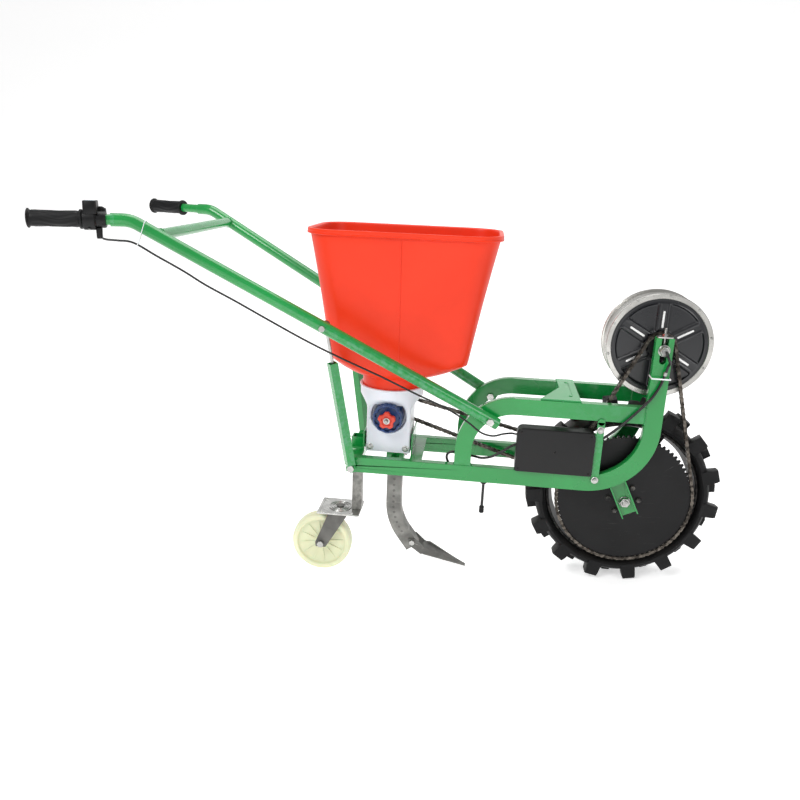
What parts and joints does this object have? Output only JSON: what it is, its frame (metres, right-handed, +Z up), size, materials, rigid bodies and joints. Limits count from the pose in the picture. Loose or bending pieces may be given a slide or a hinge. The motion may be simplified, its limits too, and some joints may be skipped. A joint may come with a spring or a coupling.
{
  "type": "push seeder",
  "caption": "Motor-assisted push seeder: chain-driven seed roller under a hopper, lugged drive wheel, caster, tubular side frames and two long handlebars.",
  "frame": {"origin": "on the floor, under the middle of the bounding box", "axes": "+X towards the drive wheel's end, +Y to the machine's left, +Z up; the frame slopes 4.8 degrees down to the front as the machine stands on its two wheels"},
  "size_m": [1.5092, 0.6528, 0.9972],
  "materials": {
    "frame_green": "gloss",
    "deck_green": "gloss",
    "zinc": "satin",
    "bare_steel": "satin",
    "copper": "satin",
    "tyre_rubber": "matt",
    "black_paint": "satin",
    "chain_steel": "oiled",
    "motor_cast": "satin",
    "cover_black": "satin",
    "cable_black": "satin",
    "housing_white": "satin",
    "roller_blue": "gloss",
    "bristle": "matt",
    "nut_red": "gloss",
    "hopper_red": "satin",
    "primer_grey": "satin",
    "fork_grey": "satin",
    "nylon": "satin",
    "grip_black": "matt",
    "plastic_black": "satin",
    "display": "gloss",
    "button_red": "gloss",
    "box_black": "satin",
    "cell_blue": "satin",
    "tie_white": "satin"
  },
  "bodies": {
    "frame": {"side_frame_right": "frame_green", "side_frame_left": "frame_green", "arch_right": "frame_green", "arch_left": "frame_green", "rear_cross_tube": "frame_green", "opener_holder": "frame_green", "meter_angles": "frame_green", "deck_plate": "deck_green", "axle_brackets": "frame_green", "wheel_axle": "bare_steel", "axle_fixings": "zinc", "pivot_bolts": "zinc", "drive_chain": "chain_steel", "feed_chain": "chain_steel", "motor_axle": "bare_steel", "motor_stator": "copper", "motor_cable": "cable_black", "meter_housing": "housing_white", "meter_bolts": "zinc", "seed_brush": "bristle", "hopper": "hopper_red", "controller_box": "box_black", "controller_insides": "cell_blue", "charge_cable": "cable_black", "charge_lead": "cable_black", "ties": "tie_white"},
    "drive_wheel": {"tyre": "tyre_rubber", "wheel_rim": "black_paint", "wheel_hub": "black_paint", "hub_bearings": "zinc", "wheel_sprockets": "black_paint"},
    "motor_rotor": {"motor_ring": "motor_cast", "motor_cover_right": "cover_black", "motor_cover_left": "cover_black", "motor_bearings": "zinc", "motor_sprocket": "black_paint"},
    "seed_meter": {"seed_roller": "roller_blue", "meter_shaft": "zinc", "meter_sprocket": "black_paint"},
    "roller_nut": {"flower_nut": "nut_red"},
    "opener": {"opener_tube": "primer_grey", "share_point": "primer_grey", "opener_bolt": "zinc"},
    "caster_mount": {"caster_stem": "primer_grey", "caster_plate": "zinc"},
    "caster_swivel": {"caster_fork": "fork_grey", "caster_bolt": "zinc"},
    "caster_roll": {"caster_wheel": "nylon"},
    "handle": {"handle_right": "frame_green", "handle_left": "frame_green", "grip_left": "grip_black", "throttle_housing": "plastic_black", "throttle_display": "display", "throttle_cable": "cable_black", "brace_bolts": "zinc"},
    "throttle": {"throttle_grip": "grip_black"},
    "button": {"power_button": "button_red"},
    "braces": {"brace_tubes": "frame_green"},
    "rod_right": {"brace_rod_right": "zinc"},
    "rod_left": {"brace_rod_left": "zinc"}
  },
  "joints": [
    {"name": "wheel_spin", "type": "hinge", "parent": "frame", "child": "drive_wheel", "pos_m": [0.51983, 0, 0.235], "axis": [0, 1, 0], "continuous": true},
    {"name": "motor_spin", "type": "hinge", "parent": "frame", "child": "motor_rotor", "pos_m": [0.58862, 0, 0.61207], "axis": [0, 1, 0], "continuous": true},
    {"name": "meter_spin", "type": "hinge", "parent": "frame", "child": "seed_meter", "pos_m": [-0.05031, 0, 0.44846], "axis": [0, 1, 0], "continuous": true},
    {"name": "roller_nut_turn", "type": "hinge", "parent": "seed_meter", "child": "roller_nut", "pos_m": [-0.05031, -0.093, 0.44846], "axis": [0, 1, 0], "continuous": true},
    {"name": "opener_depth", "type": "slide", "parent": "frame", "child": "opener", "axis": [0.0837, 0, 0.9965], "range_m": [-0.02, 0.006]},
    {"name": "caster_height", "type": "slide", "parent": "frame", "child": "caster_mount", "axis": [0.0837, 0, 0.9965], "range_m": [-0.02, 0.02]},
    {"name": "caster_swivel_turn", "type": "hinge", "parent": "caster_mount", "child": "caster_swivel", "pos_m": [-0.20071, 0, 0.17508], "axis": [0.0837, 0, 0.9965], "continuous": true},
    {"name": "caster_spin", "type": "hinge", "parent": "caster_swivel", "child": "caster_roll", "pos_m": [-0.25686, 0, 0.08], "axis": [0, 1, 0], "continuous": true},
    {"name": "handle_tilt", "type": "hinge", "parent": "frame", "child": "handle", "pos_m": [0.19917, 0, 0.45561], "axis": [0, 1, 0], "range_deg": [-5, 5], "deforming": ["throttle_cable"]},
    {"name": "throttle_twist", "type": "hinge", "parent": "handle", "child": "throttle", "pos_m": [-0.74463, -0.305, 0.96537], "axis": [0.9424, 0.325, -0.0791], "range_deg": [0, 70], "stiffness_Nm_per_rad": 0.3},
    {"name": "button_press", "type": "slide", "parent": "handle", "child": "button", "axis": [-0.0837, 0, -0.9965], "range_m": [0, 0.002], "stiffness_N_per_m": 400},
    {"name": "brace_swing", "type": "hinge", "parent": "frame", "child": "braces", "pos_m": [-0.14227, 0, 0.33325], "axis": [0, 1, 0], "range_deg": [-5, 5]},
    {"name": "rod_slide_right", "type": "slide", "parent": "braces", "child": "rod_right", "axis": [-0.0754, -0.1052, 0.9916], "range_m": [-0.04, 0.04]},
    {"name": "rod_slide_left", "type": "slide", "parent": "braces", "child": "rod_left", "axis": [-0.0754, 0.1052, 0.9916], "range_m": [-0.04, 0.04]}
  ],
  "couplings": [
    {"joint": "motor_spin", "follows": "wheel_spin", "ratio": 5},
    {"joint": "meter_spin", "follows": "wheel_spin", "ratio": 2},
    {"joint": "brace_swing", "follows": "handle_tilt", "ratio": 0.7383},
    {"joint": "rod_slide_right", "follows": "handle_tilt", "m_per_rad": 0.3515},
    {"joint": "rod_slide_left", "follows": "handle_tilt", "m_per_rad": 0.3515}
  ]
}
